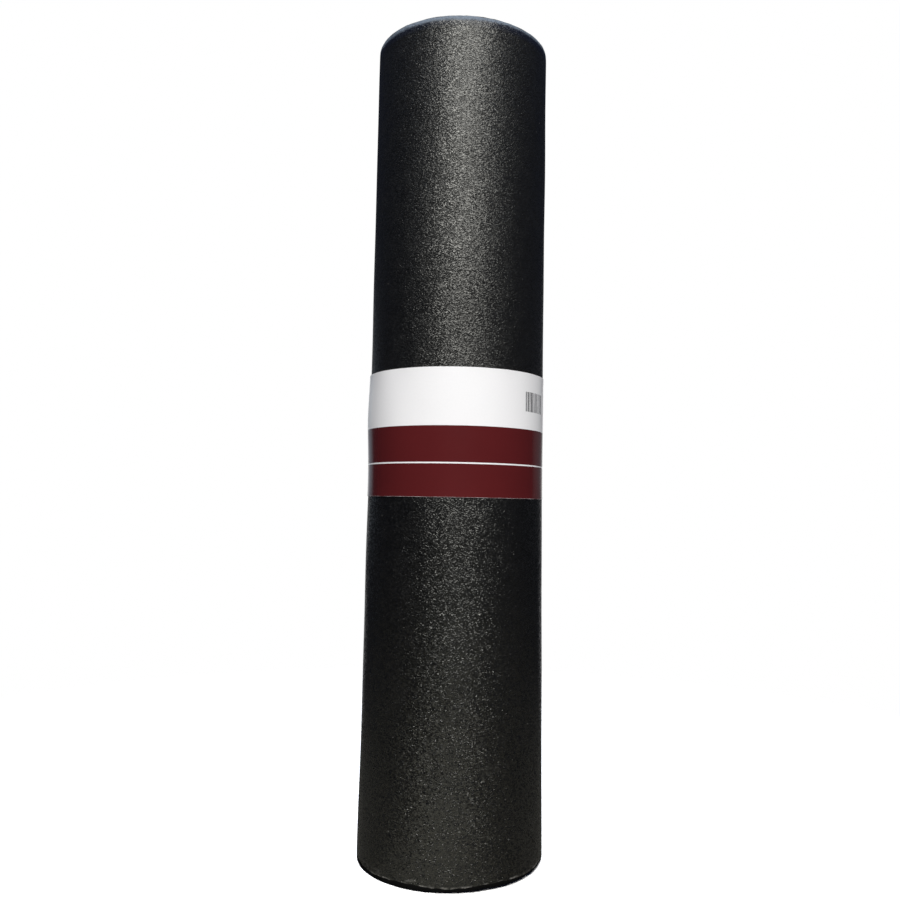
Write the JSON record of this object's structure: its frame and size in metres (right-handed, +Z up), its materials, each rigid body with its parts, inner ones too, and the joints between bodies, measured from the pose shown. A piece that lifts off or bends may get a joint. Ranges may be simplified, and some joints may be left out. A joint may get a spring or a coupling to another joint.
{
  "type": "roll of roofing felt",
  "caption": "Upright coreless roll of black asphalt-saturated roofing felt, held shut by a two-tone paper band round its middle.",
  "frame": {"origin": "centre of the base, on the axis of the roll", "axes": "+Z up the axis of the roll; the front of the roll in the picture faces -Y"},
  "size_m": [0.2004, 0.2004, 0.9144],
  "materials": {
    "felt": "black asphalt-saturated felt, finely grained, with a dull sheen",
    "label_paper": "coated paper, white above and maroon below"
  },
  "bodies": {
    "root": {"felt_roll": "felt", "label_band": "label_paper"}
  },
  "joints": []
}
